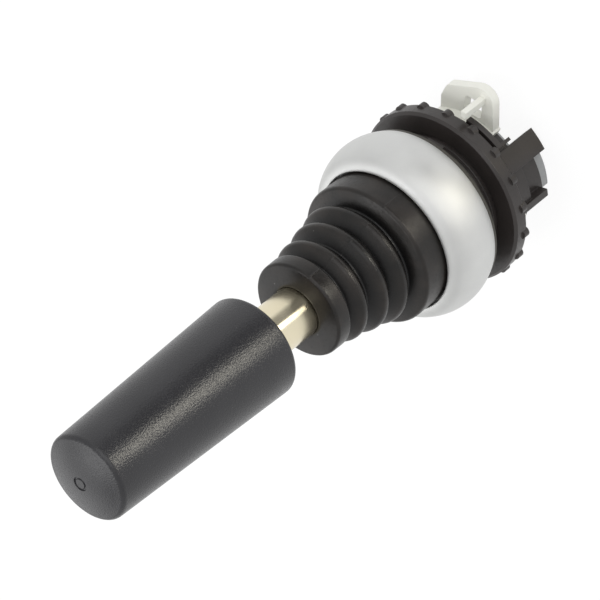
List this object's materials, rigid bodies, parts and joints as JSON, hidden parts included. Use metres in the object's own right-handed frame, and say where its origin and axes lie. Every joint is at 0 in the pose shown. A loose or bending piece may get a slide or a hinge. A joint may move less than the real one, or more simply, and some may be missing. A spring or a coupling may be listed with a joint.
{
  "type": "industrial joystick",
  "caption": "Panel-mount joystick operator: tapered grip on a plated rod, ribbed rubber bellows, round silver bezel, fixing ring and rear mounting adapter.",
  "frame": {"origin": "centre of the panel hole on the front face of the panel, which is the rear face of the gasket", "axes": "+Z along the stick at rest, towards the operator; +Y from the stick towards the locking lever"},
  "size_m": [0.0299, 0.0332, 0.0927],
  "materials": {
    "grip_plastic": "fine-grained moulded thermoplastic",
    "insert_brass": "turned",
    "rod_nickel": "nickel plated, fine turned finish",
    "bellows_rubber": "matt moulded rubber",
    "bezel_silver": "satin silver",
    "gasket_rubber": "soft rubber",
    "housing_black": "moulded plastic",
    "inner_steel": "plain",
    "acetal_natural": "moulded plastic",
    "guide_grey": "moulded plastic",
    "lever_white": "moulded plastic",
    "spring_steel": "drawn wire"
  },
  "bodies": {
    "housing": {"operator_housing": "housing_black", "bezel": "bezel_silver", "panel_gasket": "gasket_rubber", "fixing_ring": "housing_black", "gate_plate": "inner_steel", "bellows": "bellows_rubber", "gimbal_pins": "inner_steel", "plunger_guide": "guide_grey", "mounting_adapter": "housing_black", "plunger_spring_px": "spring_steel", "plunger_spring_py": "spring_steel", "plunger_spring_nx": "spring_steel", "plunger_spring_ny": "spring_steel"},
    "gimbal": {"gimbal_ring": "inner_steel"},
    "stick": {"stick_rod": "rod_nickel", "handle_grip": "grip_plastic", "grip_insert": "insert_brass", "cross_pin": "inner_steel", "actuator_cross": "acetal_natural", "actuator_screw": "inner_steel", "actuator_washer": "inner_steel"},
    "lever": {"locking_lever": "lever_white"},
    "plunger_px": {"plunger_px": "acetal_natural"},
    "plunger_py": {"plunger_py": "acetal_natural"},
    "plunger_nx": {"plunger_nx": "acetal_natural"},
    "plunger_ny": {"plunger_ny": "acetal_natural"}
  },
  "joints": [
    {"name": "tilt_x", "type": "hinge", "parent": "housing", "child": "gimbal", "pos_m": [0, 0, 0.0027], "axis": [1, 0, 0], "range_deg": [-15, 15], "stiffness_Nm_per_rad": 0.8, "deforming": ["bellows"]},
    {"name": "tilt_y", "type": "hinge", "parent": "gimbal", "child": "stick", "pos_m": [0, 0, 0.0027], "axis": [0, 1, 0], "range_deg": [-15, 15], "stiffness_Nm_per_rad": 0.8},
    {"name": "plunger_slide_px", "type": "slide", "parent": "housing", "child": "plunger_px", "axis": [0, 0, 1], "range_m": [-0.0016, 0.0016], "deforming": ["plunger_spring_px"]},
    {"name": "plunger_slide_nx", "type": "slide", "parent": "housing", "child": "plunger_nx", "axis": [0, 0, 1], "range_m": [-0.0016, 0.0016], "deforming": ["plunger_spring_nx"]},
    {"name": "plunger_slide_py", "type": "slide", "parent": "housing", "child": "plunger_py", "axis": [0, 0, 1], "range_m": [-0.0016, 0.0016], "deforming": ["plunger_spring_py"]},
    {"name": "plunger_slide_ny", "type": "slide", "parent": "housing", "child": "plunger_ny", "axis": [0, 0, 1], "range_m": [-0.0016, 0.0016], "deforming": ["plunger_spring_ny"]},
    {"name": "lever_turn", "type": "hinge", "parent": "housing", "child": "lever", "pos_m": [0, 0, -0.0082], "axis": [0, 0, 1], "range_deg": [0, 20]}
  ],
  "couplings": [
    {"joint": "plunger_slide_px", "follows": "tilt_y", "m_per_rad": -0.0058},
    {"joint": "plunger_slide_nx", "follows": "tilt_y", "m_per_rad": 0.0058},
    {"joint": "plunger_slide_py", "follows": "tilt_x", "m_per_rad": 0.0058},
    {"joint": "plunger_slide_ny", "follows": "tilt_x", "m_per_rad": -0.0058}
  ]
}
